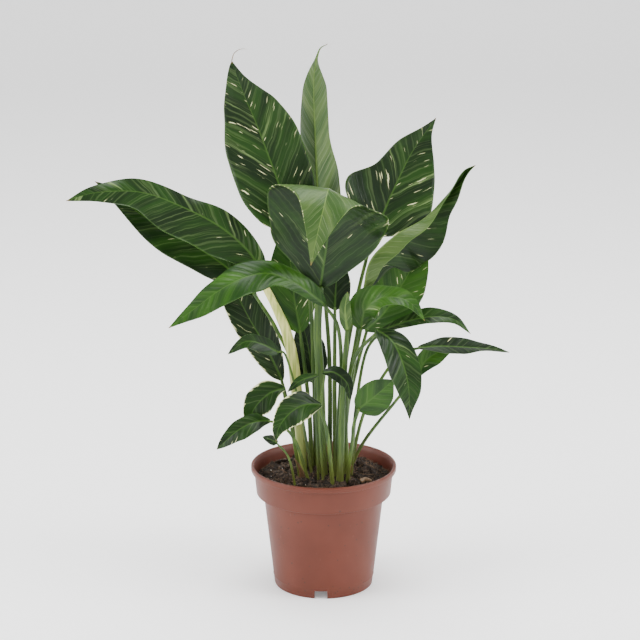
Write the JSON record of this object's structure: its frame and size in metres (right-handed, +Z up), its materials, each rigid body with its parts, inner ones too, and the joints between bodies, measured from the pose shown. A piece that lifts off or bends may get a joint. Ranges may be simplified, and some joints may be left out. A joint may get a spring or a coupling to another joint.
{
  "type": "potted peace lily",
  "caption": "Bushy foliage plant with long pointed variegated leaves on slender stems, rooted in dark peat in a thin tapered nursery pot.",
  "frame": {"origin": "centre of the pot's underside, on the ground", "axes": "+Z up along the pot's axis, -Y towards the plant's front, +X to the plant's right as seen from the front"},
  "size_m": [0.3582, 0.1423, 0.4493],
  "materials": {
    "pot_plastic": "satin red-brown moulded plastic",
    "peat": "moist dark fibrous peat",
    "leaf_green": "satin leaf with pale streaks",
    "stem_green": "smooth light green stem"
  },
  "bodies": {
    "root": {"pot": "pot_plastic", "potting_soil": "peat", "centre_left_back_blade": "leaf_green", "centre_left_back_stem": "stem_green", "centre_low_dark_blade": "leaf_green", "centre_low_dark_stem": "stem_green", "centre_shaded_blade": "leaf_green", "centre_shaded_stem": "stem_green", "far_left_lower_blade": "leaf_green", "far_left_lower_stem": "stem_green", "far_left_upper_blade": "leaf_green", "far_left_upper_stem": "stem_green", "front_cream_margin_blade": "leaf_green", "front_cream_margin_stem": "stem_green", "front_drooping_blade": "leaf_green", "front_drooping_stem": "stem_green", "left_arching_blade": "leaf_green", "left_arching_stem": "stem_green", "left_back_ribbon_blade": "leaf_green", "left_back_ribbon_stem": "stem_green", "left_cream_margin_blade": "leaf_green", "left_cream_margin_stem": "stem_green", "low_left_tip_blade": "leaf_green", "low_left_tip_stem": "stem_green", "right_arching_blade": "leaf_green", "right_arching_stem": "stem_green", "right_back_blade": "leaf_green", "right_back_stem": "stem_green", "right_front_drooping_blade": "leaf_green", "right_front_drooping_stem": "stem_green", "right_low_back_blade": "leaf_green", "right_low_back_stem": "stem_green", "right_low_rounded_blade": "leaf_green", "right_low_rounded_stem": "stem_green", "right_lowest_long_blade": "leaf_green", "right_lowest_long_stem": "stem_green", "right_middle_blade": "leaf_green", "right_middle_stem": "stem_green", "right_thin_arching_blade": "leaf_green", "right_thin_arching_stem": "stem_green", "small_across_stem_blade": "leaf_green", "small_across_stem_stem": "stem_green", "small_curled_blade": "leaf_green", "small_curled_stem": "stem_green", "small_twisted_blade": "leaf_green", "small_twisted_stem": "stem_green", "small_upright_blade": "leaf_green", "small_upright_stem": "stem_green", "tall_centre_blade": "leaf_green", "tall_centre_stem": "stem_green", "tall_left_blade": "leaf_green", "tall_left_stem": "stem_green", "tiny_shoot_blade": "leaf_green", "tiny_shoot_stem": "stem_green", "upper_right_blade": "leaf_green", "upper_right_stem": "stem_green"}
  },
  "joints": []
}
